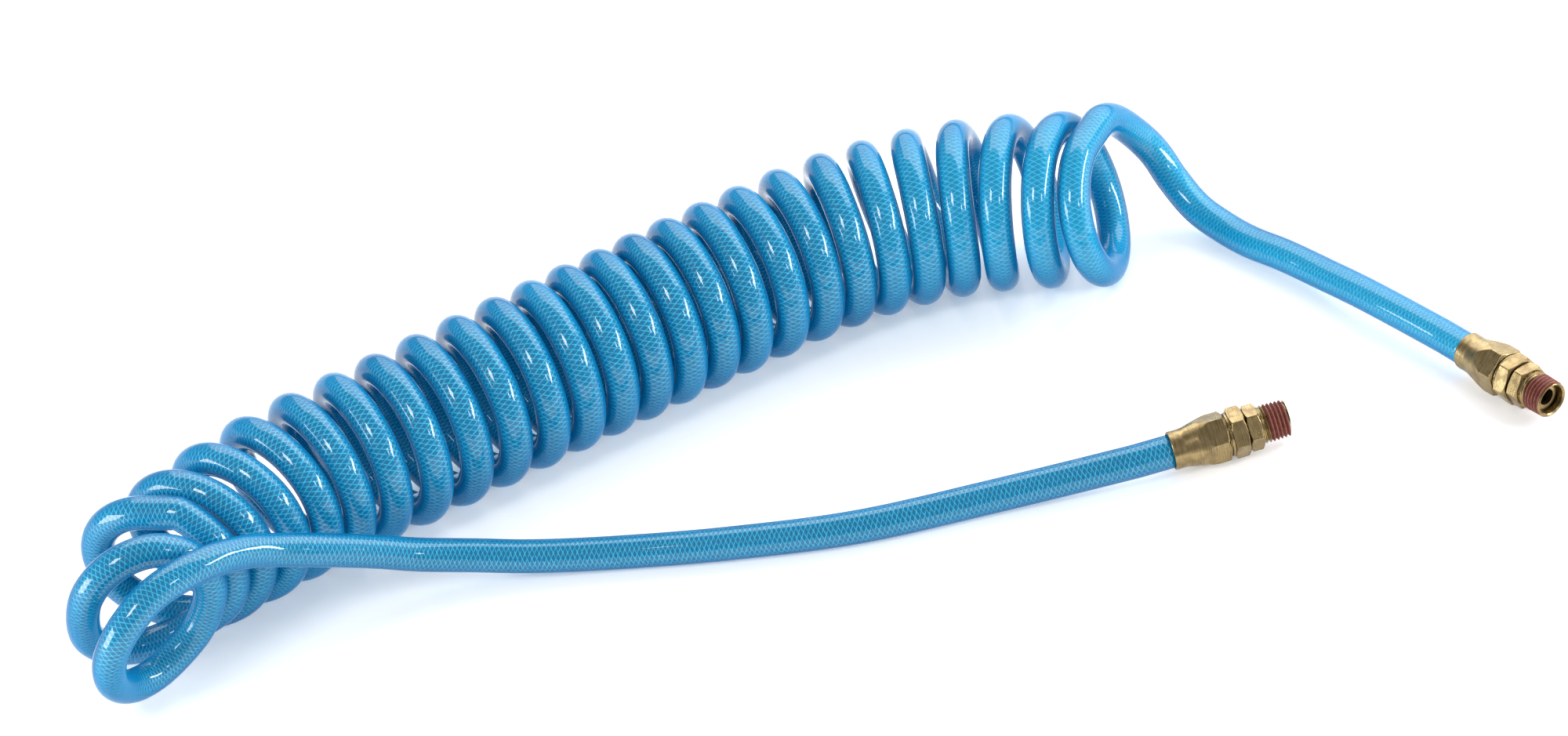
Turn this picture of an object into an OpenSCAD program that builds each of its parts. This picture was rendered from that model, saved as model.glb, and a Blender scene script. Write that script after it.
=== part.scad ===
// Coiled air hose with a male thread swivel fitting on each end.
// Millimetres, +Z up. The hose lies on the plane z = 0. The origin is on that plane, in the
// middle of the space that the hose and its fittings take up. The coil runs along +X.

/* [Hose] */
// Outer diameter of the hose
hose_od = 12; // [11:0.1:12.3]
// Bore of the hose
hose_id = 8; // [7:0.1:8.4]

/* [Coil] */
// Turns wound close together
coil_turns = 24; // [18:1:24]
// Radius from the coil's axis to the middle of the hose
coil_r = 26; // [25:0.5:28]
// Angle by which every turn is turned away from square to the coil's axis, in degrees
turn_skew = 4; // [0:1:6]
// Further angle by which the first turns fan out, in degrees
first_fan = 39; // [0:1:45]
// Turns over which the first fan dies away
first_fan_turns = 2.6; // [1:0.1:3]
// Angle by which the last turns fan out the other way, in degrees
last_fan = 20; // [0:1:30]
// Angle by which the last turns lean back, in degrees
last_lean = 18; // [0:1:30]
// Turns over which the last fan and lean die away
last_fan_turns = 1; // [0.5:0.1:1]

/* [Clamp nut] */
// Width across the nut's flats
nut_af = 15.9; // [15.6:0.1:17]
// Diameter to which the nut's corners are turned
nut_corner_d = 18.2; // [17.8:0.1:18.3]
// Length of the nut
nut_len = 20.2; // [19.8:0.1:22]
// Wall of the nut's plain nose round the hose
nut_nose_wall = 0.7; // [0.6:0.05:1]
// Length of the plain nose
nut_nose_len = 4.9; // [4:0.1:6]
// Length of the cone that grows from the nose to the corners
nut_cone_len = 9.8; // [8:0.1:11]
// Chamfer at the nut's back edge
nut_chamfer = 1.5; // [0.5:0.1:2]
// Gap between the hose and the nut's mouth
mouth_gap = 0.15; // [0.1:0.05:0.3]
// Round on the lip of the nut's mouth
mouth_lip = 0.25; // [0.1:0.05:0.3]

/* [Clamp collet] */
// Length of the collet that the nut wedges onto the hose
collet_len = 8; // [6:0.1:8.8]
// Wall of the collet at its thin end
collet_wall = 0.35; // [0.3:0.05:0.4]
// Extra wall of the collet at its thick end
collet_wedge = 0.5; // [0.3:0.05:0.5]
// Width of the slit that lets the collet close
collet_slit = 1.2; // [0.8:0.1:2]

/* [Barbed stem] */
// Diameter of the stem's thread inside the nut
boss_d = 14; // [13.9:0.05:14.1]
// Diameter of the collar behind the nut
collar_d = 15.5; // [14.8:0.1:15.8]
// Length of the collar
collar_len = 0.9; // [0.6:0.1:1.5]
// Width across the flats of the stem's hexagon
stem_af = 15.9; // [15.6:0.1:17]
// Length of the stem's hexagon
stem_hex_len = 5.5; // [4:0.1:7]
// Number of barbs
barb_count = 4; // [3:1:5]
// Height of each barb over the stem
barb_height = 0.4; // [0.2:0.05:0.5]
// Length of each barb
barb_pitch = 3.1; // [2.6:0.1:3.2]
// Air bore through the stem
air_bore = 6; // [5:0.1:6.6]
// Height of the rolled lip that keeps the swivel on the stem
lip_height = 0.6; // [0.4:0.05:0.7]
// Length of the rolled lip
lip_len = 0.9; // [0.6:0.1:1.2]

/* [Swivel] */
// Width across the flats of the swivel's hexagon
swivel_af = 14.3; // [14:0.1:15.8]
// Length of the swivel's hexagon
swivel_hex_len = 4.9; // [4.4:0.1:7]
// Diameter of the neck between hexagon and thread
neck_d = 12.7; // [12:0.1:13]
// Length of the neck
neck_len = 2; // [1:0.1:3]
// Major diameter of the male thread
thread_d = 13.72; // [13.5:0.01:14]
// Length of the male thread
thread_len = 8.2; // [7.5:0.1:10]
// Chamfer at the thread's tip
thread_chamfer = 0.8; // [0.4:0.1:1]
// Bare thread left at the tip, in front of the sealant
bare_len = 1.5; // [1:0.1:3]
// Thickness of the sealant
sealant_t = 0.16; // [0.1:0.01:0.3]
// Diameter of the counterbore that hides the rolled lip
counterbore_d = 10; // [9.9:0.1:10.4]
// Depth of the counterbore
counterbore_len = 4; // [3.6:0.1:4.6]
// Thickness of the seal ring
seal_d = 1.44; // [1.3:0.02:1.6]
// Width of the groove that holds the seal ring
groove_w = 1.9; // [1.7:0.1:2.1]

/* [Fits] */
// Radial running gap between the swivel and the stem
run_gap = 0.05; // [0.02:0.01:0.08]
// End gap between parts that turn against each other
end_gap = 0.3; // [0.2:0.05:0.4]
// Gap between parts that are screwed or wedged together
seat_gap = 0.05; // [0.02:0.01:0.08]
// Gap seen between the back of the nut and the collar
nut_back_gap = 0.4; // [0.2:0.1:0.8]

/* [Lay] */
// Direction in which the inlet fitting points, in degrees from +X
inlet_heading = 6; // [0:1:10]
// Direction in which the outlet fitting points, in degrees from +X
outlet_heading = -59; // [-65:1:-50]
// Turn of the clamp nuts about their axis, in degrees
nut_turn = 8; // [0:1:59]
// Turn of the stem hexagons about their axis, in degrees
stem_turn = 29; // [0:1:59]
// Turn of the swivel hexagons about their axis, in degrees
swivel_turn = 23; // [0:1:59]

/* [Hidden] */

hose_r = hose_od / 2;
// The hose is pressed flat by this much where it lies on the floor.
floor_flat = hose_od / 10;
// A tube's ends run straight for one diameter.
straight = hose_od;

// Stations along the coil's axis in plan, at equal numbers of turns, from the inlet end.
AXIS_ROUTE = [
    [-225.5, -39.9], [-181.1, -13.7], [-134.8, 4.1], [-90.4, 21.3], [-51.2, 35.7], [-12.5, 49.8],
    [30.4, 62.8], [76.2, 65.1], [129.6, 52.3]
];
// The loose hose from the coil's first turn, round two open loops, towards the inlet fitting.
INLET_ROUTE = [
    [-203.5, -50.5, 45.5], [-201, -52, 32], [-206, -51, 19.5], [-219.5, -48, 10], [-236.5, -50, 7.5],
    [-249, -55, 14], [-254.5, -62, 28], [-250, -67.5, 47.5], [-238, -67.5, 58.5], [-223.5, -65, 59.5],
    [-212, -63, 51], [-208.5, -62, 37], [-215, -61, 21.5], [-225, -64, 13], [-235.5, -71, 10.5],
    [-243.5, -79.5, 15], [-247, -88, 26], [-245, -92, 39], [-236.5, -91, 51], [-224, -84.5, 57.5],
    [-207.5, -74.5, 56.5], [-194, -64, 49.5], [-183, -58, 42.5], [-168.5, -54.5, 35.5],
    [-152, -49.5, 26], [-137.5, -46.5, 18], [-119, -46, 12], [-97.5, -49, 8], [-68, -54.5, 6],
    [-30, -62.5, 6], [14, -68.5, 6], [63, -68, 6]
];
// The loose hose from the coil's last turn towards the outlet fitting.
OUTLET_ROUTE = [
    [135, 75, 47.5], [142, 80, 36], [148, 79, 26], [152.5, 73.5, 16.5], [158.5, 64, 9],
    [166.5, 52.5, 6], [174, 41, 6], [183.5, 28.5, 7], [194.5, 13, 7.5], [208, -8, 9]
];
// Radius of the coil for which the loose hose's heights are given.
route_coil_r = 26;
// Middle of each clamp nut's mouth. The nut's corner rests on the floor.
inlet_mouth = [125, -68.5, nut_corner_d / 2];
outlet_mouth = [234.5, -49.5, nut_corner_d / 2];

rings_per_turn = 24;
coil_sides = 6;
tail_sides = 8;
rings_per_span = 3;

// Lengths inside a fitting that cannot be seen from outside.
stem_tip_inset = 0.2;
stem_tip_len = 0.6;
barb_land = 0.4;
barb_back = 0.3;
hose_end_gap = 0.1;
collet_end_gap = 0.2;
wedge_relief = 0.4;
lip_ramp = 0.2;
lip_round = 0.3;
// How far joined shapes run into each other, and how far a cut runs past what it cuts.
overlap = 0.2;
past = 1;

// Stations along a fitting's axis, from the clamp nut's mouth outwards.
hose_seam = 1;
stem_tip = hose_seam + stem_tip_inset;
barb_start = stem_tip + stem_tip_len;
barb_stop = barb_start + barb_count * barb_pitch;
hose_stop = barb_stop + barb_land;
boss_start = hose_stop + hose_end_gap;
collar_start = nut_len + nut_back_gap;
stem_hex_start = collar_start + collar_len;
stem_hex_stop = stem_hex_start + stem_hex_len;
swivel_start = stem_hex_stop + end_gap;
neck_start = swivel_start + swivel_hex_len;
thread_start = neck_start + neck_len;
tip = thread_start + thread_len;
sealant_stop = tip - thread_chamfer - bare_len;
counterbore_start = tip - counterbore_len;
lip_start = counterbore_start + end_gap;
lip_stop = lip_start + lip_len;
groove_middle = neck_start - groove_w / 2;
collet_start = nut_nose_len + collet_end_gap;
collet_stop = collet_start + collet_len;

// Radii that mating pieces share.
stem_r = hose_id / 2;
barb_r = stem_r + barb_height;
boss_r = boss_d / 2;
swivel_bore_r = stem_r + run_gap;
lip_r = stem_r + lip_height;
seal_middle_r = swivel_bore_r + seal_d / 2;
groove_r = swivel_bore_r + seal_d + seat_gap / 2;
thread_r = thread_d / 2;
collet_thin_r = hose_r + collet_wall;
collet_thick_r = collet_thin_r + collet_wedge;
nut_thread_r = boss_r + seat_gap;

// How far inside its flats a hexagon's end face stops, and the rise of its chamfer.
hex_edge = 0.15;
hex_slope = 0.5;
// Lengths of the tapered ends of turned pieces.
stem_tip_chamfer = 0.3;
boss_chamfer = 0.4;
facet_count = 72;

// ---- routes ----

// Point between b and c on the smooth curve through a, b, c and d.
function curve(a, b, c, d, u) =
    (2 * b + (c - a) * u + (2 * a - 5 * b + 4 * c - d) * u * u + (3 * b - a - 3 * c + d) * u * u * u) / 2;

function last(list) = list[len(list) - 1];

function unit(v) = v / norm(v);

// The part of v that is square to axis, at unit length.
function square_to(v, axis) = unit(v - (v * axis) * axis);

// Point at station s of a route that has one point more at each end than it has stations.
function on_route(route, s) =
    let (i = max(0, min(floor(s), len(route) - 4)))
    curve(route[i], route[i + 1], route[i + 2], route[i + 3], s - i);

axis_route = concat(
    [2 * AXIS_ROUTE[0] - AXIS_ROUTE[1]],
    AXIS_ROUTE,
    [2 * last(AXIS_ROUTE) - AXIS_ROUTE[len(AXIS_ROUTE) - 2]]
);

// How far the first and the last turns' fan is felt at turn t.
function first_share(t) = exp(-t / first_fan_turns);
function last_share(t) = exp((t - coil_turns) / last_fan_turns);

// Direction of the coil's axis in plan at turn t.
function axis_heading(t) =
    let (
        s = t / coil_turns * (len(AXIS_ROUTE) - 1),
        step = on_route(axis_route, s + 0.01) - on_route(axis_route, s - 0.01)
    )
    atan2(step.y, step.x);

// Direction from the coil's axis to the hose at turn t. The hose climbs over the top at each
// whole turn and is a left-handed helix.
function coil_out(t) =
    let (
        yaw = axis_heading(t) + turn_skew + first_fan * first_share(t) - last_fan * last_share(t),
        lean = -last_lean * last_share(t),
        up = [sin(lean) * cos(yaw), sin(lean) * sin(yaw), cos(lean)],
        across = [-sin(yaw), cos(yaw), 0]
    )
    cos(360 * t) * up + sin(360 * t) * across;

function coil_point(t) =
    let (
        middle = on_route(axis_route, t / coil_turns * (len(AXIS_ROUTE) - 1)),
        lean = last_lean * last_share(t)
    )
    [middle.x, middle.y, hose_r - floor_flat + coil_r * cos(lean)] + coil_r * coil_out(t);

// Directions in which the hose leaves the coil at its first and its last turn.
coil_first_way = unit(coil_point(0) - coil_point(0.002));
coil_last_way = unit(coil_point(coil_turns) - coil_point(coil_turns - 0.002));
coil_first_end = coil_point(0) + straight * coil_first_way;
coil_last_end = coil_point(coil_turns) + straight * coil_last_way;

coil_steps = coil_turns * rings_per_turn;
coil_line = concat(
    [coil_first_end],
    [for (i = [0:coil_steps]) coil_point(i / rings_per_turn)],
    [coil_last_end]
);
coil_sides_out = concat(
    [coil_out(0)],
    [for (i = [0:coil_steps]) coil_out(i / rings_per_turn)],
    [coil_out(coil_turns)]
);

function heading_way(heading) = [cos(heading), sin(heading), 0];

// A route whose heights over the floor follow the coil's radius.
function beside_coil(route) = [
    for (p = route) [p.x, p.y, hose_r + (p.z - hose_r) * coil_r / route_coil_r]
];

// A tail runs from the coil's end along its route and straight into its clamp nut.
function tail_route(coil_end, coil_way, route, mouth, heading) =
    let (way = heading_way(heading))
    concat(
        [coil_end - straight * coil_way, coil_end],
        beside_coil(route),
        [mouth - straight * way, mouth + hose_seam * way]
    );

// The smooth line through a tail's route, from the coil's end. Its last stretch is straight.
function tail_line(route) =
    concat(
        [for (i = [0:(len(route) - 3) * rings_per_span]) on_route(route, i / rings_per_span)],
        [last(route)]
    );

inlet_line = tail_line(tail_route(coil_first_end, coil_first_way, INLET_ROUTE, inlet_mouth, inlet_heading));
outlet_line = tail_line(
    tail_route(coil_last_end, coil_last_way, OUTLET_ROUTE, outlet_mouth, outlet_heading)
);

// ---- tubes ----

// Direction of a line at each of its points, with the given directions at its two ends.
function line_ways(line, first_way, last_way) =
    let (n = len(line))
    [for (i = [0:n - 1]) i == 0 ? first_way : i == n - 1 ? last_way : unit(line[i + 1] - line[i - 1])];

// A direction square to the line at each point that turns no more than the line does.
function carried(ways, start) = [
    for (i = 0, side = square_to(start, ways[0]); i < len(ways);
        i = i + 1, side = i < len(ways) ? square_to(side, ways[i]) : side)
        side
];

// One closed tube of triangles round a line. Nothing of it reaches below the floor.
module tube(line, ways, sides_out, sides) {
    n = len(line);
    points = [
        for (i = [0:n - 1], k = [0:sides - 1])
            let (
                side = square_to(sides_out[i], ways[i]),
                across = cross(ways[i], side),
                p = line[i] + hose_r * (cos(360 * k / sides) * side + sin(360 * k / sides) * across)
            )
            [p.x, p.y, max(p.z, 0)]
    ];
    walls = [
        for (i = [0:n - 2], k = [0:sides - 1])
            let (
                a = i * sides + k,
                b = i * sides + (k + 1) % sides
            )
            each [[a, a + sides, b], [b, a + sides, b + sides]]
    ];
    ends = [
        for (k = [1:sides - 2])
            each [[0, k, k + 1], [(n - 1) * sides, (n - 1) * sides + k + 1, (n - 1) * sides + k]]
    ];
    polyhedron(points, concat(walls, ends));
}

module tail(line, coil_way, heading) {
    ways = line_ways(line, coil_way, heading_way(heading));
    tube(line, ways, carried(ways, [0, 0, 1]), tail_sides);
}

// Least distance between two stretches of hose, less the hose's diameter.
function least_gap(line_a, line_b) =
    min([for (a = line_a) min([for (b = line_b) norm(a - b)])]) - hose_od;

// The coil's least gap to itself, measured on fine points against the turn that follows.
fine = 3 * rings_per_turn;
function coil_gap() =
    min([
        for (i = [0:(coil_turns - 1) * fine])
            least_gap(
                [coil_point(i / fine)],
                [
                    for (j = [i + fine * 3 / 4:min(i + fine * 5 / 4, coil_turns * fine)])
                        coil_point(j / fine)
                ]
            )
    ]);

// The loops' least gap to themselves, between rings over half a turn of hose apart.
half_loop = 12;
function loop_gap() =
    min([
        for (i = [0:len(inlet_line) - half_loop - 2])
            least_gap([inlet_line[i]], [for (j = [i + half_loop:len(inlet_line) - 1]) inlet_line[j]])
    ]);

// The loops' least gap to the coil, without the first half turn of the loops.
function loop_coil_gap() =
    least_gap(
        [for (i = [half_loop:len(inlet_line) - 1]) inlet_line[i]],
        [for (i = [0:3 * rings_per_turn]) coil_line[i]]
    );

echo(coil_gap = coil_gap(), loop_gap = loop_gap(), loop_coil_gap = loop_coil_gap());

// ---- shapes along a fitting's axis ----

// A solid of revolution from [radius, station] points.
module turned(profile) {
    rotate_extrude($fn = facet_count) polygon(profile);
}

// A hexagonal bar between two stations.
module hex_bar(flats, from, to, turn) {
    rotate([0, 0, turn])
        translate([0, 0, from])
            cylinder(d = flats / cos(30), h = to - from, $fn = 6);
}

// A hexagon whose corners are chamfered at both ends, as on a nut.
module chamfered_hex(flats, from, to, turn) {
    edge_r = flats / 2 - hex_edge;
    clear_r = flats / 2 / cos(30) + 1;
    intersection() {
        hex_bar(flats, from, to, turn);
        turned([
            [0, from], [edge_r, from], [clear_r, from + (clear_r - edge_r) * hex_slope],
            [clear_r, to - (clear_r - edge_r) * hex_slope], [edge_r, to], [0, to]
        ]);
    }
}

// Saw-tooth outline of the barbs from the stem's tip to the end of the hose.
barb_outline = concat(
    [[stem_r, barb_start]],
    [
        for (i = [0:barb_count - 1])
            each [
                [barb_r, barb_start + (i + 1) * barb_pitch - barb_back],
                [stem_r, barb_start + (i + 1) * barb_pitch]
            ]
    ],
    [[stem_r, hose_stop]]
);

// ---- pieces of a fitting, along +Z from the clamp nut's mouth ----

// The end of the hose, pushed over the barbs.
module hose_end() {
    turned(concat([[hose_r, hose_stop], [hose_r, hose_seam], [stem_r, hose_seam]], barb_outline));
}

// The nut that the inner end of the hose passes through. It wedges the collet onto the hose.
module clamp_nut() {
    corner_r = nut_corner_d / 2;
    mouth_r = hose_r + mouth_gap;
    nose_r = mouth_r + nut_nose_wall;
    cone_stop = nut_nose_len + nut_cone_len;
    difference() {
        intersection() {
            hex_bar(nut_af, -past, nut_len + past, nut_turn);
            turned([
                [0, 0], [nose_r - mouth_lip, 0], [nose_r, mouth_lip], [nose_r, nut_nose_len],
                [corner_r, cone_stop], [corner_r, nut_len - nut_chamfer / 2],
                [corner_r - nut_chamfer, nut_len], [0, nut_len]
            ]);
        }
        turned([
            [0, -past], [mouth_r + mouth_lip, -past], [mouth_r + mouth_lip, 0], [mouth_r, mouth_lip],
            [mouth_r, nut_nose_len],
            [collet_thin_r + seat_gap, nut_nose_len],
            [collet_thick_r + seat_gap, collet_stop],
            [nut_thread_r, collet_stop + wedge_relief],
            [nut_thread_r, nut_len + past], [0, nut_len + past]
        ]);
    }
}

// The split ring that the nut's cone closes onto the hose.
module clamp_collet() {
    difference() {
        turned([
            [hose_r, collet_start], [collet_thin_r, collet_start],
            [collet_thick_r, collet_stop], [hose_r, collet_stop]
        ]);
        translate([0, -collet_slit / 2, collet_start - past])
            cube([boss_d, collet_slit, collet_len + 2 * past]);
    }
}

// The barbed stem: barbs in the hose, thread boss in the nut, hexagon, and the spigot with a
// rolled lip that the swivel turns on.
module barbed_stem() {
    bore_r = air_bore / 2;
    difference() {
        union() {
            turned(concat(
                [[0, stem_tip], [stem_r - stem_tip_chamfer, stem_tip], [stem_r, stem_tip + stem_tip_chamfer]],
                barb_outline,
                [
                    [stem_r, boss_start], [boss_r - boss_chamfer, boss_start],
                    [boss_r, boss_start + boss_chamfer], [boss_r, collar_start],
                    [collar_d / 2, collar_start], [collar_d / 2, stem_hex_start + overlap],
                    [0, stem_hex_start + overlap]
                ]
            ));
            chamfered_hex(stem_af, stem_hex_start, stem_hex_stop, stem_turn);
            turned([
                [0, stem_hex_stop - overlap], [stem_r, stem_hex_stop - overlap],
                [stem_r, lip_start], [lip_r, lip_start + lip_ramp], [lip_r, lip_stop - lip_round],
                [lip_r - lip_round, lip_stop], [0, lip_stop]
            ]);
        }
        translate([0, 0, stem_tip - past])
            cylinder(r = bore_r, h = lip_stop - stem_tip + 2 * past, $fn = facet_count);
    }
}

// The threaded body that turns on the stem.
module swivel_body() {
    difference() {
        union() {
            chamfered_hex(swivel_af, swivel_start, neck_start, swivel_turn);
            turned([
                [0, neck_start - overlap], [neck_d / 2, neck_start - overlap], [neck_d / 2, thread_start],
                [thread_r - sealant_t, thread_start],
                [thread_r - sealant_t, sealant_stop], [thread_r, sealant_stop],
                [thread_r, tip - thread_chamfer],
                [thread_r - thread_chamfer, tip], [0, tip]
            ]);
        }
        translate([0, 0, swivel_start - past])
            cylinder(r = swivel_bore_r, h = tip - swivel_start + 2 * past, $fn = facet_count);
        translate([0, 0, counterbore_start])
            cylinder(d = counterbore_d, h = counterbore_len + past, $fn = facet_count);
        translate([0, 0, groove_middle - groove_w / 2])
            cylinder(r = groove_r, h = groove_w, $fn = facet_count);
    }
}

// The ring that keeps the air in between stem and swivel.
module swivel_seal() {
    translate([0, 0, groove_middle])
        rotate_extrude($fn = facet_count)
            translate([seal_middle_r, 0])
                circle(d = seal_d, $fn = 32);
}

// Sealant baked into the thread, as a thin sleeve at the thread's major diameter.
module thread_sealant() {
    translate([0, 0, thread_start])
        difference() {
            cylinder(r = thread_r, h = sealant_stop - thread_start, $fn = facet_count);
            translate([0, 0, -past])
                cylinder(r = thread_r - sealant_t, h = thread_len + 2 * past, $fn = facet_count);
        }
}

// ---- the part ----

hose_blue = "#5fa9cf";
brass = "#c9a95c";
sealant_red = "#8d4a3c";
seal_black = "#222222";

module at_fitting(mouth, heading) {
    translate(mouth) rotate([0, 90, heading]) children();
}

module at_inlet() {
    at_fitting(inlet_mouth, inlet_heading) children();
}

module at_outlet() {
    at_fitting(outlet_mouth, outlet_heading) children();
}

module hose_coil() {
    color(hose_blue)
        tube(coil_line, line_ways(coil_line, -coil_first_way, coil_last_way), coil_sides_out, coil_sides);
}

module inlet_tail() {
    color(hose_blue) tail(inlet_line, coil_first_way, inlet_heading);
}

module outlet_tail() {
    color(hose_blue) tail(outlet_line, coil_last_way, outlet_heading);
}

module inlet_hose_end() {
    color(hose_blue) at_inlet() hose_end();
}

module inlet_clamp_nut() {
    color(brass) at_inlet() clamp_nut();
}

module inlet_clamp_collet() {
    color(brass) at_inlet() clamp_collet();
}

module inlet_barbed_stem() {
    color(brass) at_inlet() barbed_stem();
}

module inlet_swivel_body() {
    color(brass) at_inlet() swivel_body();
}

module inlet_swivel_seal() {
    color(seal_black) at_inlet() swivel_seal();
}

module inlet_thread_sealant() {
    color(sealant_red) at_inlet() thread_sealant();
}

module outlet_hose_end() {
    color(hose_blue) at_outlet() hose_end();
}

module outlet_clamp_nut() {
    color(brass) at_outlet() clamp_nut();
}

module outlet_clamp_collet() {
    color(brass) at_outlet() clamp_collet();
}

module outlet_barbed_stem() {
    color(brass) at_outlet() barbed_stem();
}

module outlet_swivel_body() {
    color(brass) at_outlet() swivel_body();
}

module outlet_swivel_seal() {
    color(seal_black) at_outlet() swivel_seal();
}

module outlet_thread_sealant() {
    color(sealant_red) at_outlet() thread_sealant();
}

hose_coil();
inlet_tail();
outlet_tail();
inlet_hose_end();
inlet_clamp_nut();
inlet_clamp_collet();
inlet_barbed_stem();
inlet_swivel_body();
inlet_swivel_seal();
inlet_thread_sealant();
outlet_hose_end();
outlet_clamp_nut();
outlet_clamp_collet();
outlet_barbed_stem();
outlet_swivel_body();
outlet_swivel_seal();
outlet_thread_sealant();
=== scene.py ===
"""Looks of a coiled air hose: a clear blue braided tube wound into a close coil, with a loose tail
and a brass swivel fitting at each end. Lengths are metres, except at the workbench, where a
fitting's pieces are modelled upright in millimetres before they are laid in place."""

import logging
import math
from dataclasses import dataclass
from enum import Enum
from typing import Callable, Sequence

import bpy
import numpy as np
from mathutils import Matrix, Vector


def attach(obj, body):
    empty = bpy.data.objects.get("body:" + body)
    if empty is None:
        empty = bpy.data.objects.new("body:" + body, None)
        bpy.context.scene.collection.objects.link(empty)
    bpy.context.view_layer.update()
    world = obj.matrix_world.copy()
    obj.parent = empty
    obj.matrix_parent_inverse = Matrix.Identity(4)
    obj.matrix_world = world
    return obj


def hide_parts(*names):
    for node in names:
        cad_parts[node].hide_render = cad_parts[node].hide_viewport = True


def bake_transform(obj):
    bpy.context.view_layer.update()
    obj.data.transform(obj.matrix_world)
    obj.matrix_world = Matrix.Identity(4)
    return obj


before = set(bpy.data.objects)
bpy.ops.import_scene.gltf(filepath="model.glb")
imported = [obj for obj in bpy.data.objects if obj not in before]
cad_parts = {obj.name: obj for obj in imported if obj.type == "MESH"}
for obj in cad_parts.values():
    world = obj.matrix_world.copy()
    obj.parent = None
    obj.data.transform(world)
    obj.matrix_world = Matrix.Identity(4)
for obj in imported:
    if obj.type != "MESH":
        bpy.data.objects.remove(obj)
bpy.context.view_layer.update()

log = logging.getLogger("air_hose")

Colour = tuple[float, float, float, float]
Place = tuple[float, float, float]
Profile = Sequence[tuple[float, float]]

MILLIMETRE = 0.001
TUBE_MAP = "tube"
WHITE: Colour = (1.0, 1.0, 1.0, 1.0)
# Painted glow: the hose gives off this blue faintly, which lifts its shade as if light were scattered through
# the clear tube.
PAINTED_GLOW_BLUE: Colour = (0.0, 0.45, 1.0, 1.0)
LIT_POINT: Place = (0.0, 0.0, 0.03)


class End(Enum):
    """The two ends of the hose, with the body that each fitting's fixed pieces ride on."""

    INLET = "inlet"
    OUTLET = "outlet"

    @property
    def body(self) -> str:
        """Body of the nut and the stem."""
        return "root" if self is End.INLET else "outlet_end"

    @property
    def turning_body(self) -> str:
        """Body of the swivel and what turns with it."""
        return f"{self.value}_swivel"


class Cut(Enum):
    """How one solid acts on another."""

    KEEP_COMMON = "INTERSECT"
    JOIN = "UNION"


# ---- materials ----


class Graph:
    """A node tree with short words for adding and joining its nodes."""

    MIX_INPUTS = (0, 6, 7)
    MIX_OUTPUT = 2

    def __init__(self, tree: bpy.types.NodeTree) -> None:
        """Take a tree, and empty it."""
        self.tree = tree
        tree.nodes.clear()

    def add(self, kind: str, **settings: object) -> bpy.types.Node:
        """Add one node.

        Args:
            kind: the node's type name.
            settings: properties of the node and their values.

        Returns:
            The new node.
        """
        node = self.tree.nodes.new(kind)
        for name, value in settings.items():
            setattr(node, name, value)
        return node

    def put(self, value: object, socket: bpy.types.NodeSocket) -> None:
        """Join a socket to an input, or set the input's constant.

        Args:
            value: a socket or a constant.
            socket: the input.
        """
        if isinstance(value, bpy.types.NodeSocket):
            self.tree.links.new(value, socket)
        else:
            socket.default_value = value

    def feed(self, node: bpy.types.Node, **inputs: object) -> bpy.types.Node:
        """Join sockets to a node's inputs, or set their constants.

        Args:
            node: the node that is fed.
            inputs: input names, with _ for a space, and a socket or a constant for each.

        Returns:
            The same node.
        """
        for name, value in inputs.items():
            self.put(value, node.inputs[name.replace("_", " ")])
        return node

    def calc(self, operation: str, *values: object) -> bpy.types.NodeSocket:
        """One step of arithmetic.

        Args:
            operation: the Math node's operation.
            values: up to three sockets or numbers.

        Returns:
            The result's socket.
        """
        node = self.add("ShaderNodeMath", operation=operation)
        for socket, value in zip(node.inputs, values):
            self.put(value, socket)
        return node.outputs[0]

    def ease(self, value: bpy.types.NodeSocket, low: object, high: object) -> bpy.types.NodeSocket:
        """A smooth step from 0 at low to 1 at high.

        Args:
            value: the socket that is eased.
            low: value or socket that gives 0.
            high: value or socket that gives 1.

        Returns:
            The eased socket.
        """
        node = self.add("ShaderNodeMapRange", interpolation_type="SMOOTHSTEP")
        self.feed(node, Value=value, From_Min=low, From_Max=high)
        return node.outputs["Result"]

    def blend(self, share: object, first: object, second: object) -> bpy.types.NodeSocket:
        """A colour between two.

        Args:
            share: how much of the second, from 0 to 1.
            first: colour or socket at 0.
            second: colour or socket at 1.

        Returns:
            The mixed colour's socket.
        """
        node = self.add("ShaderNodeMix", data_type="RGBA")
        for index, value in zip(self.MIX_INPUTS, (share, first, second)):
            self.put(value, node.inputs[index])
        return node.outputs[self.MIX_OUTPUT]

    def noise(self, place: bpy.types.NodeSocket, scale: float, detail: float) -> bpy.types.NodeSocket:
        """Smooth noise from 0 to 1, read at a place, as fine as scale and with detail finer layers."""
        return self.feed(self.add("ShaderNodeTexNoise"), Vector=place, Scale=scale, Detail=detail).outputs[0]

    def stretched(self, place: bpy.types.NodeSocket, scale: Place) -> bpy.types.NodeSocket:
        """Coordinates drawn out along their axes, by a factor for each."""
        return self.feed(self.add("ShaderNodeMapping"), Vector=place, Scale=scale).outputs[0]

    def bump(self, height: bpy.types.NodeSocket, strength: float, distance: float) -> bpy.types.NodeSocket:
        """A normal that leans as a surface of this height would, in metres of distance."""
        node = self.feed(self.add("ShaderNodeBump"), Height=height, Strength=strength, Distance=distance)
        return node.outputs[0]

    def own_place(self) -> bpy.types.NodeSocket:
        """The piece's own coordinates, in metres."""
        return self.add("ShaderNodeTexCoord").outputs["Object"]


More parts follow.
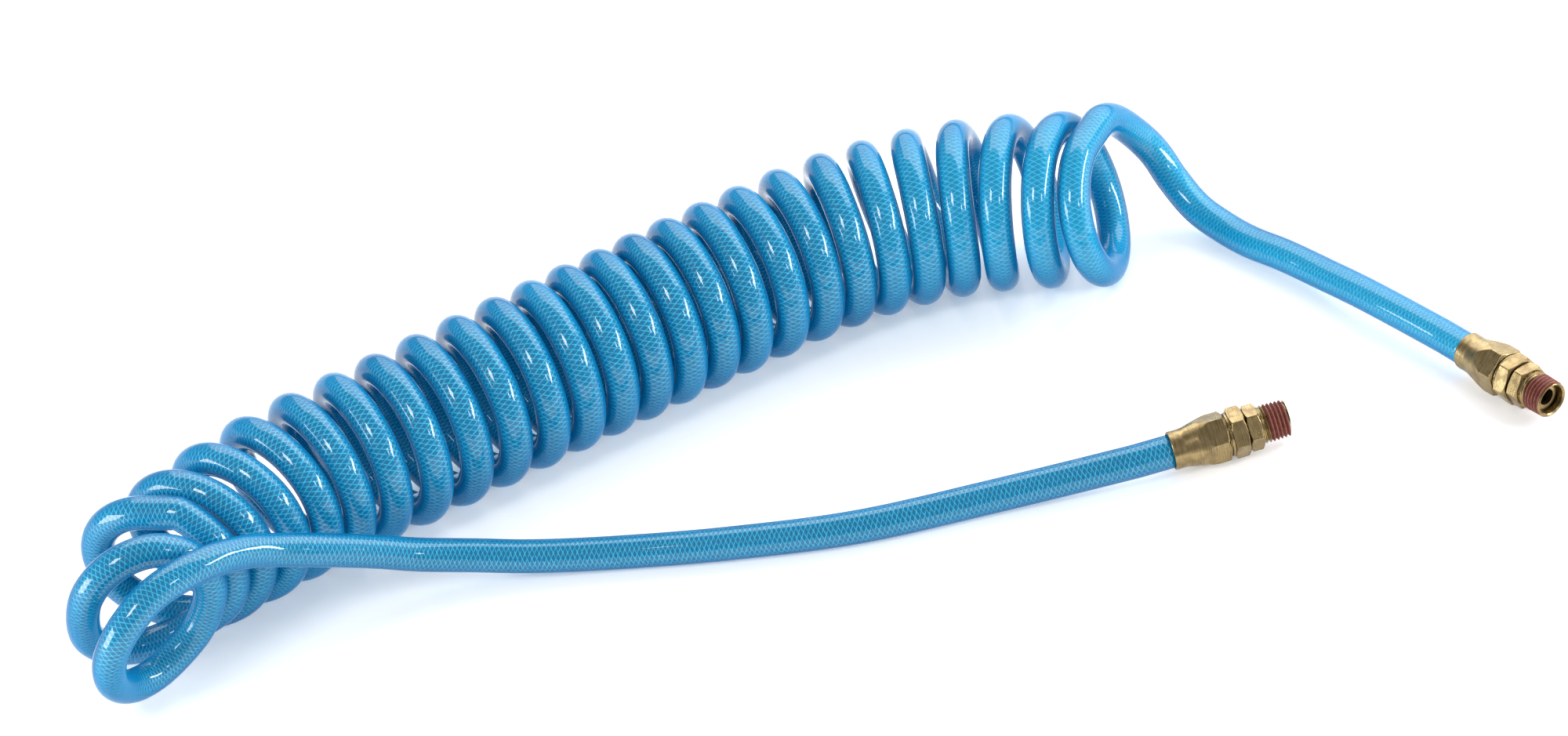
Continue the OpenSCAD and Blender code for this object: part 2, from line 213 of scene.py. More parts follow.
def make_group(name: str, inputs: dict[str, float | None], outputs: Sequence[str]) -> bpy.types.NodeTree:
    """A shader node group with named sockets and nothing in it yet.

    Args:
        name: the group's name.
        inputs: names of its inputs, each with its usual value, or None for a vector.
        outputs: names of the float values that the group puts out.

    Returns:
        The group's tree.
    """
    group = bpy.data.node_groups.new(name, "ShaderNodeTree")
    for label, usual in inputs.items():
        kind = "NodeSocketVector" if usual is None else "NodeSocketFloat"
        socket = group.interface.new_socket(label, in_out="INPUT", socket_type=kind)
        if usual is not None:
            socket.default_value = usual
    for label in outputs:
        group.interface.new_socket(label, in_out="OUTPUT", socket_type="NodeSocketFloat")
    return group


class Effects:
    """Node groups that more than one material uses, built once."""

    def __init__(self) -> None:
        """Build the groups."""
        self.braid = self._braid()
        self.machining = self._machining()

    @staticmethod
    def _braid() -> bpy.types.NodeTree:
        """Two families of yarns that cross on a tube.

        Returns:
            A group from tube coordinates (turns round, metres along) to yarns and crossings.
        """
        inputs = {"Tube": None, "Starts": 9.0, "Pitch": 0.0017, "Gap": 0.64}
        group = make_group("braid", inputs, ("Yarns", "Crossings"))
        graph = Graph(group)
        given = graph.add("NodeGroupInput").outputs
        tube = graph.feed(graph.add("ShaderNodeSeparateXYZ"), Vector=given["Tube"]).outputs
        round_it = graph.calc("MULTIPLY", tube[0], given["Starts"])
        along = graph.calc("DIVIDE", tube[1], given["Pitch"])
        yarns = []
        for lean in ("ADD", "SUBTRACT"):
            phase = graph.calc("FRACT", graph.calc(lean, along, round_it))
            off_middle = graph.calc("ABSOLUTE", graph.calc("SUBTRACT", phase, 0.5))
            from_middle = graph.calc("MULTIPLY", off_middle, 2.0)
            yarns.append(graph.ease(from_middle, given["Gap"], graph.calc("ADD", given["Gap"], 0.3)))
        out = graph.add("NodeGroupOutput")
        graph.feed(out, Yarns=graph.calc("MAXIMUM", *yarns), Crossings=graph.calc("MULTIPLY", *yarns))
        return group

    @staticmethod
    def _machining() -> bpy.types.NodeTree:
        """Turning marks, stains and small dents of a machined metal piece.

        Returns:
            A group from a fitting's own coordinates in millimetres to marks, stains and dents.
        """
        group = make_group("machining", {"Place": None, "Fineness": 1.0}, ("Marks", "Stains", "Dents"))
        graph = Graph(group)
        given = graph.add("NodeGroupInput").outputs
        place = graph.add("ShaderNodeVectorMath", operation="SCALE")
        graph.feed(place, Vector=given["Place"], Scale=given["Fineness"])
        along = graph.stretched(place.outputs[0], (0.15, 0.15, 9.0))
        marks = graph.noise(along, 1.0, 4.0)
        stains = graph.noise(place.outputs[0], 0.32, 5.0)
        dents = graph.noise(place.outputs[0], 1.6, 2.0)
        graph.feed(
            graph.add("NodeGroupOutput"),
            Marks=graph.ease(marks, 0.35, 0.65),
            Stains=graph.ease(stains, 0.38, 0.66),
            Dents=graph.ease(dents, 0.62, 0.74),
        )
        return group


def start_material(name: str) -> tuple[bpy.types.Material, Graph, bpy.types.Node]:
    """A material with a Principled shader joined to its output.

    Args:
        name: the material's name.

    Returns:
        The material, its graph and the shader.
    """
    material = bpy.data.materials.new(name)
    material.use_nodes = True
    graph = Graph(material.node_tree)
    shader = graph.add("ShaderNodeBsdfPrincipled")
    graph.feed(graph.add("ShaderNodeOutputMaterial"), Surface=shader.outputs[0])
    return material, graph, shader


def place_group(graph: Graph, group: bpy.types.NodeTree, **inputs: object) -> bpy.types.NodeOutputs:
    """Put a node group into a graph.

    Args:
        graph: the graph that takes it.
        group: the group's tree.
        inputs: its inputs, as for Graph.feed.

    Returns:
        The group's outputs.
    """
    node = graph.add("ShaderNodeGroup")
    node.node_tree = group
    return graph.feed(node, **inputs).outputs


def tube_and_drift(graph: Graph) -> tuple[bpy.types.NodeSocket, bpy.types.NodeSocket]:
    """The hose's own map, in turns round and metres along, and a slow drift of tone from 0 to 1."""
    tube = graph.add("ShaderNodeUVMap", uv_map=TUBE_MAP).outputs[0]
    return tube, graph.ease(graph.noise(graph.stretched(tube, (1.0, 14.0, 1.0)), 1.0, 2.0), 0.3, 0.7)


@dataclass(frozen=True)
class ClearJacket:
    """Clear blue polyurethane, deeper in colour where more of its wall lies in line."""

    blue: Colour = (0.001, 0.12, 0.3, 1.0)
    pale: Colour = (0.003, 0.18, 0.4, 1.0)
    least_alpha: float = 0.04
    rim_alpha: float = 0.88

    def material(self) -> bpy.types.Material:
        """Build the material, which reads the hose's own map.

        Returns:
            The material.
        """
        material, graph, shader = start_material("clear_jacket")
        _, drift = tube_and_drift(graph)
        facing = graph.feed(graph.add("ShaderNodeLayerWeight"), Blend=0.5).outputs["Facing"]
        wall = graph.calc("MULTIPLY_ADD", graph.ease(facing, 0.15, 0.8), self.rim_alpha, self.least_alpha)
        graph.feed(
            shader,
            Base_Color=graph.blend(drift, self.blue, self.pale),
            Roughness=0.08,
            Alpha=wall,
            IOR=1.2,
            # Painted glow: a faint blue emission that lifts the jacket's shade.
            Emission_Color=PAINTED_GLOW_BLUE,
            Emission_Strength=0.04,
        )
        return material


@dataclass(frozen=True)
class BraidedTube:
    """Blue polyurethane liner under a pale polyester braid."""

    deep: Colour = (0.0017, 0.1651, 0.3325, 1.0)
    body: Colour = (0.002, 0.178, 0.355, 1.0)
    # Painted light: along this run towards the outlet the tube turns a paler blue, as where it lies better
    # lit and less shaded by other turns.
    painted_lit_end: Colour = (0.004, 0.31, 0.55, 1.0)
    painted_lit_run: tuple[float, float] = (3.3, 4.6)
    yarn: Colour = (0.08, 0.72, 1.0, 1.0)

    def material(self, effects: Effects) -> bpy.types.Material:
        """Build the material of the long hose, which reads the hose's own map.

        Args:
            effects: the shared node groups.

        Returns:
            The material.
        """
        material, graph, shader = start_material("clear_braided_tube")
        tube, drift = tube_and_drift(graph)
        braid = place_group(graph, effects.braid, Tube=tube)
        fleck = graph.noise(graph.stretched(tube, (30.0, 900.0, 1.0)), 1.0, 2.0)
        ground = graph.blend(drift, self.deep, self.body)
        along = graph.feed(graph.add("ShaderNodeSeparateXYZ"), Vector=tube).outputs["Y"]
        # Painted light: paler towards the outlet end, as if better lit there.
        ground = graph.blend(graph.ease(along, *self.painted_lit_run), ground, self.painted_lit_end)
        yarns = graph.calc("MULTIPLY", braid["Yarns"], graph.ease(fleck, 0.1, 0.75))
        colour = graph.blend(graph.calc("MULTIPLY", yarns, 0.85), ground, self.yarn)
        colour = graph.blend(graph.calc("MULTIPLY", braid["Crossings"], 0.4), colour, self.yarn)
        normal = graph.bump(yarns, 0.1, 0.0002)
        graph.feed(
            shader,
            Base_Color=colour,
            Roughness=0.5,
            Normal=normal,
            Specular_IOR_Level=0.2,
            Coat_Weight=1.0,
            Coat_Roughness=0.04,
            Coat_IOR=1.5,
            # Painted glow: a faint blue emission that lifts the tube's shade, also in the creases between
            # turns.
            Emission_Color=PAINTED_GLOW_BLUE,
            Emission_Strength=0.06,
        )
        return material

    def clamped_material(self, effects: Effects) -> bpy.types.Material:
        """Build the material of the hose's ends inside the nuts, which have no map.

        Args:
            effects: the shared node groups.

        Returns:
            The material.
        """
        material, graph, shader = start_material("clamped_tube")
        place = graph.own_place()
        grain = graph.ease(graph.noise(place, 900.0, 3.0), 0.35, 0.65)
        colour = graph.blend(grain, self.body, self.yarn)
        normal = graph.bump(grain, 0.2, 0.0002)
        graph.feed(shader, Base_Color=colour, Roughness=0.4, Normal=normal)
        graph.feed(shader, Coat_Weight=1.0, Coat_Roughness=0.1)
        return material


@dataclass(frozen=True)
class MachinedBrass:
    """Satin brass with turning marks, tarnish and brighter edges: the edges are rubbed, and painted bright as
    highlight lines.
    """

    plain: Colour = (0.27, 0.193, 0.08, 1.0)
    tarnish: Colour = (0.12, 0.08, 0.035, 1.0)
    # Bright brass: the turning marks lean towards it, and the edge strips take it as painted highlight lines.
    bright_metal_and_highlight: Colour = (0.95, 0.79, 0.5, 1.0)

    def face(self, effects: Effects) -> bpy.types.Material:
        """Build the material of turned and milled faces from the shared node groups."""
        return self._build(effects, "machined_brass", self.plain, 0.22, 0.12)

    def edge(self, effects: Effects) -> bpy.types.Material:
        """Build the material of the rubbed edges, painted bright as highlight lines, from the shared node
        groups.
        """
        return self._build(effects, "rubbed_and_highlight_brass_edge", self.bright_metal_and_highlight, 0.18, 0.08)

    def _build(
        self, effects: Effects, name: str, colour: Colour, rough: float, marked: float
    ) -> bpy.types.Material:
        """Build one brass material.

        Args:
            effects: the shared node groups.
            name: the material's name.
            colour: the clean metal's colour.
            rough: the least roughness.
            marked: strength of the turning marks' bump.

        Returns:
            The material.
        """
        material, graph, shader = start_material(name)
        place = graph.add("ShaderNodeAttribute", attribute_name="turned").outputs["Vector"]
        marks = place_group(graph, effects.machining, Place=place)
        tone = graph.blend(graph.calc("MULTIPLY", marks["Stains"], 0.6), colour, self.tarnish)
        tone = graph.blend(graph.calc("MULTIPLY", marks["Marks"], 0.18), tone, self.bright_metal_and_highlight)
        dull = graph.calc("MULTIPLY_ADD", marks["Stains"], 0.16, rough)
        dull = graph.calc("MULTIPLY_ADD", marks["Marks"], 0.08, dull)
        height = graph.calc("SUBTRACT", marks["Marks"], graph.calc("MULTIPLY", marks["Dents"], 0.6))
        normal = graph.bump(height, marked, 0.00005)
        graph.feed(shader, Base_Color=tone, Metallic=1.0, Roughness=dull, Normal=normal)
        return material

    def hidden(self, effects: Effects) -> bpy.types.Material:
        """Build the material of the collets, whose solids carry no coordinates of their own.

        Args:
            effects: the shared node groups.

        Returns:
            The material.
        """
        material, graph, shader = start_material("collet_brass")
        place = graph.stretched(graph.own_place(), (1000.0, 1000.0, 1000.0))
        marks = place_group(graph, effects.machining, Place=place)
        tone = graph.blend(marks["Stains"], self.plain, self.tarnish)
        dull = graph.calc("MULTIPLY_ADD", marks["Stains"], 0.15, 0.35)
        graph.feed(shader, Base_Color=tone, Metallic=1.0, Roughness=dull)
        return material


@dataclass(frozen=True)
class BakedSealant:
    """Matt red-brown sealant, rubbed through to brass on some crests."""

    red: Colour = (0.2, 0.048, 0.032, 1.0)
    dark: Colour = (0.075, 0.018, 0.014, 1.0)
    rubbed: Colour = (0.34, 0.14, 0.085, 1.0)

    def material(self, effects: Effects) -> bpy.types.Material:
        """Build the material.

        Args:
            effects: the shared node groups.

        Returns:
            The material.
        """
        material, graph, shader = start_material("baked_sealant")
        place = graph.add("ShaderNodeAttribute", attribute_name="turned").outputs["Vector"]
        crest = graph.add("ShaderNodeAttribute", attribute_name="crest").outputs["Fac"]
        marks = place_group(graph, effects.machining, Place=place, Fineness=1.5)
        patch = graph.noise(place, 0.9, 4.0)
        tone = graph.blend(graph.ease(patch, 0.35, 0.7), self.red, self.dark)
        tone = graph.blend(graph.calc("MULTIPLY", crest, 0.75), tone, self.red)
        worn = graph.calc("MULTIPLY", graph.ease(crest, 0.75, 1.0), graph.ease(patch, 0.42, 0.56))
        tone = graph.blend(graph.calc("MULTIPLY", worn, 0.75), tone, self.rubbed)
        dull = graph.calc("MULTIPLY_ADD", worn, -0.3, 0.72)
        normal = graph.bump(marks["Dents"], 0.4, 0.00008)
        graph.feed(shader, Base_Color=tone, Roughness=dull, Normal=normal)
        return material


@dataclass(frozen=True)
class SealRubber:
    """Black rubber with a faint bloom."""

    black: Colour = (0.012, 0.012, 0.013, 1.0)
    bloom: Colour = (0.045, 0.045, 0.048, 1.0)

    def material(self) -> bpy.types.Material:
        """Build the material.

        Returns:
            The material.
        """
        material, graph, shader = start_material("seal_rubber")
        place = graph.own_place()
        bloom = graph.ease(graph.noise(place, 700.0, 4.0), 0.4, 0.7)
        graph.feed(shader, Base_Color=graph.blend(bloom, self.black, self.bloom), Roughness=0.55)
        return material


@dataclass(frozen=True)
class PaleFloor:
    """Matt white studio floor."""

    white: Colour = (0.93, 0.93, 0.93, 1.0)
    off_white: Colour = (0.9, 0.9, 0.91, 1.0)

    def material(self) -> bpy.types.Material:
        """Build the material.

        Returns:
            The material.
        """
        material, graph, shader = start_material("pale_floor")
        place = graph.own_place()
        cloud = graph.ease(graph.noise(place, 3.0, 2.0), 0.3, 0.7)
        graph.feed(
            shader,
            Base_Color=graph.blend(cloud, self.white, self.off_white),
            Roughness=0.7,
            Emission_Color=WHITE,
            Emission_Strength=0.3,
        )
        return material


@dataclass(frozen=True)
class Finishes:
    """Every material of the object, built once."""

    jacket: bpy.types.Material
    tube: bpy.types.Material
    clamped_tube: bpy.types.Material
    brass: bpy.types.Material
    brass_edge: bpy.types.Material
    collet: bpy.types.Material
    sealant: bpy.types.Material
    rubber: bpy.types.Material

    @classmethod
    def build(cls) -> "Finishes":
        """Build them all.

        Returns:
            The finishes.
        """
        effects = Effects()
        tube, brass = BraidedTube(), MachinedBrass()
        return cls(
            jacket=ClearJacket().material(),
            tube=tube.material(effects),
            clamped_tube=tube.clamped_material(effects),
            brass=brass.face(effects),
            brass_edge=brass.edge(effects),
            collet=brass.hidden(effects),
            sealant=BakedSealant().material(effects),
            rubber=SealRubber().material(),
        )


def dress_node(node: str, material: bpy.types.Material) -> None:
    """Give a solid that stays in view its material.

    Args:
        node: the solid's name.
        material: its finish.
    """
    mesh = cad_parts[node].data
    mesh.materials.clear()
    mesh.materials.append(material)
    log.info("%s: %s", node, material.name)


# ---- studio ----


@dataclass(frozen=True)
class SoftBox:
    """One rectangular light that faces the hose: its name, middle, watts, and width and height."""

    name: str
    place: Place
    power: float
    size: tuple[float, float]

    def hang(self) -> None:
        """Put the light in its place, out of the camera's sight."""
        data = bpy.data.lights.new(self.name, "AREA")
        data.energy, data.shape = self.power, "RECTANGLE"
        data.size, data.size_y = self.size
        lamp = bpy.data.objects.new(self.name, data)
        bpy.context.scene.collection.objects.link(lamp)
        lamp.location = self.place
        lamp.visible_camera = False
        lamp.rotation_euler = (Vector(LIT_POINT) - Vector(self.place)).to_track_quat("-Z", "Y").to_euler()


@dataclass(frozen=True)
class Studio:
    """Camera, pale floor and soft lights."""

    target: Place = (0.0005, 0.0360, -0.0005)
    distance: float = 2.5
    elevation: float = math.radians(38)
    roll: float = math.radians(12.36)
    lens: float = 160.0
    film_width: float = 36.0
    sight: float = 20.0
    floor_size: float = 12.0
    room_strength: float = 0.34
    boxes: tuple[SoftBox, ...] = (
        SoftBox("back_screen", (0.7, 1.38, 1.16), 71.0, (3.4, 2.2)),
        SoftBox("right_box", (1.9, -0.34, 0.6), 26.0, (1.25, 0.32)),
        SoftBox("left_box", (-1.43, -0.25, 0.3), 12.5, (0.8, 0.5)),
        SoftBox("front_left_box", (-0.71, -0.71, 1.11), 7.0, (0.36, 0.4)),
        SoftBox("front_right_box", (0.83, -1.0, 0.75), 1.5, (0.15, 0.2)),
    )

    def place_camera(self) -> None:
        """Look down at the hose from the front, with the camera rolled to its right."""
        right, up = Vector((1, 0, 0)), Vector((0, math.sin(self.elevation), math.cos(self.elevation)))
        back = Vector((0, -math.cos(self.elevation), math.sin(self.elevation)))
        rolled_right = math.cos(self.roll) * right - math.sin(self.roll) * up
        rolled_up = math.sin(self.roll) * right + math.cos(self.roll) * up
        turn = Matrix((rolled_right, rolled_up, back)).transposed().to_4x4()
        data = bpy.data.cameras.new("studio_camera")
        data.lens, data.sensor_width, data.clip_end = self.lens, self.film_width, self.sight
        camera = bpy.data.objects.new("studio_camera", data)
        bpy.context.scene.collection.objects.link(camera)
        camera.matrix_world = Matrix.Translation(Vector(self.target) + self.distance * back) @ turn
        bpy.context.scene.camera = camera

    def lay_floor(self) -> None:
        """Lay a wide matt floor under the hose."""
        bpy.ops.object.select_all(action="DESELECT")
        bpy.ops.mesh.primitive_plane_add(size=self.floor_size, location=(0, 0, 0))
        floor = bpy.context.active_object
        floor.name = "floor"
        floor.data.materials.append(PaleFloor().material())

    def light(self) -> None:
        """Hang soft boxes round the hose in a white room."""
        world = bpy.data.worlds.new("white_room")
        world.use_nodes = True
        background = world.node_tree.nodes["Background"]
        background.inputs["Color"].default_value = WHITE
        background.inputs["Strength"].default_value = self.room_strength
        bpy.context.scene.world = world
        for box in self.boxes:
            box.hang()
        bpy.context.scene.view_settings.view_transform = "Standard"


# ---- hose ----


def unit(vectors: np.ndarray) -> np.ndarray:
    """Vectors at unit length."""
    return vectors / np.linalg.norm(vectors, axis=-1, keepdims=True)


def run_along(points: np.ndarray) -> np.ndarray:
    """Length of a line up to each of its points."""
    return np.concatenate([[0.0], np.cumsum(np.linalg.norm(np.diff(points, axis=0), axis=1))])


def on_route(route: np.ndarray, stations: np.ndarray) -> np.ndarray:
    """Points of the smooth curve through a route.

    Args:
        route: the route's points, with one more at each end than there are stations.
        stations: where to read it, in whole steps between points.

    Returns:
        One point for each station.
    """
    i = np.clip(np.floor(stations).astype(int), 0, len(route) - 4)
    u = (stations - i)[:, None]
    a, b, c, d = route[i], route[i + 1], route[i + 2], route[i + 3]
    return (2 * b + (c - a) * u + (2 * a - 5 * b + 4 * c - d) * u**2 + (3 * b - a - 3 * c + d) * u**3) / 2


@dataclass
class CoiledHose:
    """The whole hose as one tube: inlet tail, two open loops, close coil and outlet tail."""

    diameter: float = 0.012
    braid_diameter: float = 0.0108
    floor_flat: float = 0.0012
    coil_radius: float = 0.026
    turns: int = 24
    turn_skew: float = math.radians(4)
    first_fan: float = math.radians(39)
    first_fan_turns: float = 2.6
    last_fan: float = math.radians(20)
    last_lean: float = math.radians(18)
    last_fan_turns: float = 1.0
    sides: int = 24
    ring_gap: float = 0.0026
    fine_points: tuple[int, int] = (180, 40)
    path_points: tuple[int, int] = (24, 2)
    inlet_mouth: Place = (0.1250, -0.0685, 0.0091)
    inlet_heading: float = math.radians(6)
    outlet_mouth: Place = (0.2345, -0.0495, 0.0091)
    outlet_heading: float = math.radians(-59)
    seam: float = 0.001
    axis_route: Sequence[tuple[float, float]] = (
        (-0.2255, -0.0399), (-0.1811, -0.0137), (-0.1348, 0.0041), (-0.0904, 0.0213), (-0.0512, 0.0357),
        (-0.0125, 0.0498), (0.0304, 0.0628), (0.0762, 0.0651), (0.1296, 0.0523),
    )  # fmt: skip
    inlet_route: Sequence[Place] = (
        (-0.2035, -0.0505, 0.0455), (-0.2010, -0.0520, 0.0320), (-0.2060, -0.0510, 0.0195),
        (-0.2195, -0.0480, 0.0100), (-0.2365, -0.0500, 0.0075), (-0.2490, -0.0550, 0.0140),
        (-0.2545, -0.0620, 0.0280), (-0.2500, -0.0675, 0.0475), (-0.2380, -0.0675, 0.0585),
        (-0.2235, -0.0650, 0.0595), (-0.2120, -0.0630, 0.0510), (-0.2085, -0.0620, 0.0370),
        (-0.2150, -0.0610, 0.0215), (-0.2250, -0.0640, 0.0130), (-0.2355, -0.0710, 0.0105),
        (-0.2435, -0.0795, 0.0150), (-0.2470, -0.0880, 0.0260), (-0.2450, -0.0920, 0.0390),
        (-0.2365, -0.0910, 0.0510), (-0.2240, -0.0845, 0.0575), (-0.2075, -0.0745, 0.0565),
        (-0.1940, -0.0640, 0.0495), (-0.1830, -0.0580, 0.0425), (-0.1685, -0.0545, 0.0355),
        (-0.1520, -0.0495, 0.0260), (-0.1375, -0.0465, 0.0180), (-0.1190, -0.0460, 0.0120),
        (-0.0975, -0.0490, 0.0080), (-0.0680, -0.0545, 0.0060), (-0.0300, -0.0625, 0.0060),
        (0.0140, -0.0685, 0.0060), (0.0630, -0.0680, 0.0060),
    )  # fmt: skip
    outlet_route: Sequence[Place] = (
        (0.1350, 0.0750, 0.0475), (0.1420, 0.0800, 0.0360), (0.1480, 0.0790, 0.0260),
        (0.1525, 0.0735, 0.0165), (0.1585, 0.0640, 0.0090), (0.1665, 0.0525, 0.0060),
        (0.1740, 0.0410, 0.0060), (0.1835, 0.0285, 0.0070), (0.1945, 0.0130, 0.0075),
        (0.2080, -0.0080, 0.0090),
    )  # fmt: skip

    def _coil(self, turn: np.ndarray) -> np.ndarray:
        """Middle of the hose on the coil.

        Args:
            turn: turns from the inlet end.

        Returns:
            One point for each.
        """
        axis = np.array(self.axis_route)
        # One more point at each end, in line with the last two.
        axis = np.vstack([2 * axis[0] - axis[1], axis, 2 * axis[-1] - axis[-2]])
        station = turn / self.turns * (len(self.axis_route) - 1)
        middle, near = on_route(axis, station), 0.01
        step = on_route(axis, station + near) - on_route(axis, station - near)
        first = np.exp(-turn / self.first_fan_turns)
        last = np.exp((turn - self.turns) / self.last_fan_turns)
        yaw = np.arctan2(step[:, 1], step[:, 0]) + self.turn_skew
        yaw = yaw + self.first_fan * first - self.last_fan * last
        lean = -self.last_lean * last
        up = np.stack([np.sin(lean) * np.cos(yaw), np.sin(lean) * np.sin(yaw), np.cos(lean)], 1)
        across = np.stack([-np.sin(yaw), np.cos(yaw), 0 * yaw], 1)
        angle = math.tau * turn[:, None]
        height = self.diameter / 2 - self.floor_flat + self.coil_radius * np.cos(lean)
        outward = np.cos(angle) * up + np.sin(angle) * across
        return np.column_stack([middle, height]) + self.coil_radius * outward

    def _tail(
        self,
        end: np.ndarray,
        way: np.ndarray,
        route: Sequence[Place],
        mouth: Place,
        heading: float,
        per_span: int,
    ) -> np.ndarray:
        """Line of a tail from the coil's straight end into its clamp nut.

        Args:
            end: where the coil's straight end stops.
            way: the hose's direction there.
            route: the tail's points.
            mouth: middle of the nut's mouth.
            heading: direction of the fitting in plan.
            per_span: points from one of the route's points to the next.

        Returns:
            The line's points.
        """
        into = np.array([math.cos(heading), math.sin(heading), 0.0])
        points = np.vstack(
            [end - self.diameter * way, end, route, mouth - self.diameter * into, mouth + self.seam * into]
        )
        spans = len(points) - 3
        line = on_route(points, np.linspace(0, spans, spans * per_span + 1))
        return np.vstack([line, points[-1]])

    def line(self, per_turn: int, per_span: int) -> tuple[np.ndarray, float, float]:
        """Middle line of the whole hose from the inlet's nut to the outlet's.

        Args:
            per_turn: points on each turn of the coil.
            per_span: points between two points of a tail's route.

        Returns:
            The points, and the lengths of hose up to the coil's start and up to its end.
        """
        near = 0.002
        ends = self._coil(np.array([0.0, near, self.turns - near, self.turns]))
        first_way, last_way = unit(ends[0] - ends[1]), unit(ends[3] - ends[2])
        coil = self._coil(np.linspace(0, self.turns, self.turns * per_turn + 1))
        inlet = self._tail(
            ends[0] + self.diameter * first_way, first_way, self.inlet_route, self.inlet_mouth,
            self.inlet_heading, per_span,
        )  # fmt: skip
        outlet = self._tail(
            ends[3] + self.diameter * last_way, last_way, self.outlet_route, self.outlet_mouth,
            self.outlet_heading, per_span,
        )  # fmt: skip
        points = np.vstack([inlet[::-1], coil, outlet])
        run = run_along(points)
        return points, run[len(inlet)], run[len(inlet) + len(coil) - 1]

    def _rings(self) -> tuple[np.ndarray, np.ndarray, float, float]:
        """Evenly spaced points of the middle line.

        Returns:
            The points, the length of hose up to each, and up to the coil's start and end.
        """
        points, start, stop = self.line(*self.fine_points)
        run = run_along(points)
        at = np.linspace(0.0, run[-1], round(run[-1] / self.ring_gap) + 1)
        even = np.stack([np.interp(at, run, points[:, k]) for k in range(3)], 1)
        return even, at, start, stop

    def _spokes(self, middle: np.ndarray) -> np.ndarray:
        """Ways from the middle line out to the wall, carried along the hose without a twist.

        Args:
            middle: the rings' middles.

        Returns:
            For each ring, a unit vector for each of its sides.
        """
        ways = unit(np.gradient(middle, axis=0))
        side = np.empty_like(ways)
        carried = np.array([0.0, 0.0, 1.0])
        for i, way in enumerate(ways):
            carried = carried - carried.dot(way) * way
            carried /= np.linalg.norm(carried)
            side[i] = carried
        across = np.cross(ways, side)
        angle = math.tau * np.arange(self.sides) / self.sides
        return np.cos(angle)[None, :, None] * side[:, None] + np.sin(angle)[None, :, None] * across[:, None]

    def build(self, jacket: bpy.types.Material, braid: bpy.types.Material) -> bpy.types.Object:
        """Build the clear jacket over the braid, with their own map of turns round and metres along.

        Args:
            jacket: material of the outer wall.
            braid: material of the braided tube inside it.

        Returns:
            The hose, laid from the inlet's nut to the outlet's.
        """
        middle, at, start, stop = self._rings()
        spokes = self._spokes(middle)
        rings, sides = len(middle), self.sides
        i, k = np.meshgrid(np.arange(rings - 1), np.arange(sides), indexing="ij")
        a, b = i * sides + k, i * sides + (k + 1) % sides
        walls = np.stack([a, b, b + sides, a + sides], -1).reshape(-1, 4)
        ends = np.array([range(sides)[::-1], range((rings - 1) * sides, rings * sides)])
        points, faces = [], []
        for diameter in (self.diameter, self.braid_diameter):
            first = len(points) * rings * sides
            shell = middle[:, None] + diameter / 2 * spokes
            # The tube is flat where it rests, and the braid stays as far inside the jacket there.
            shell[..., 2] = np.maximum(shell[..., 2], (self.diameter - diameter) / 2)
            points.append(shell.reshape(-1, 3))
            faces += (walls + first).tolist() + (ends + first).tolist()
        mesh = bpy.data.meshes.new("hose")
        mesh.from_pydata(np.concatenate(points).tolist(), [], faces)
        across_map = np.stack([k, k + 1, k + 1, k], -1).reshape(-1) / sides
        along_map = np.stack([at[i], at[i], at[i + 1], at[i + 1]], -1).reshape(-1)
        ends_map = np.repeat(at[[0, -1]], sides)
        chart = np.stack([np.append(across_map, 0 * ends_map), np.append(along_map, ends_map)], -1)
        mesh.uv_layers.new(name=TUBE_MAP).data.foreach_set("uv", np.tile(chart.ravel(), len(points)))
        mesh.polygons.foreach_set("use_smooth", ([True] * len(walls) + [False, False]) * len(points))
        mesh.polygons.foreach_set("material_index", np.repeat(np.arange(len(points)), len(walls) + 2))
        mesh.materials.append(jacket)
        mesh.materials.append(braid)
        mesh.update()
        hose = bpy.data.objects.new("hose", mesh)
        bpy.context.scene.collection.objects.link(hose)
        self._stretch_with_coil(hose, at, start, stop)
        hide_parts("hose_coil", "inlet_tail", "outlet_tail")
        return hose

    def _stretch_with_coil(self, hose: bpy.types.Object, at: np.ndarray, start: float, stop: float) -> None:
        """Bake the hose's place into its mesh, and work out the share of the outlet end's pull that each ring
        would take; the share is not used.

        Args:
            hose: the tube.
            at: length of hose up to each ring.
            start: length of hose up to the coil.
            stop: length of hose up to the coil's end.
        """
        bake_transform(hose)
        # The share grows along the coil, from 0 at its start to 1 at its end, so that its turns would stay
        # joined and open alike; nothing uses it.
        ease = (stop - start) / self.turns / 2
        rate = np.clip((at - start) / ease, 0, 1) * np.clip((stop - at) / ease, 0, 1)
        share = np.cumsum(rate)
        share /= share[-1]


# ---- fittings ----


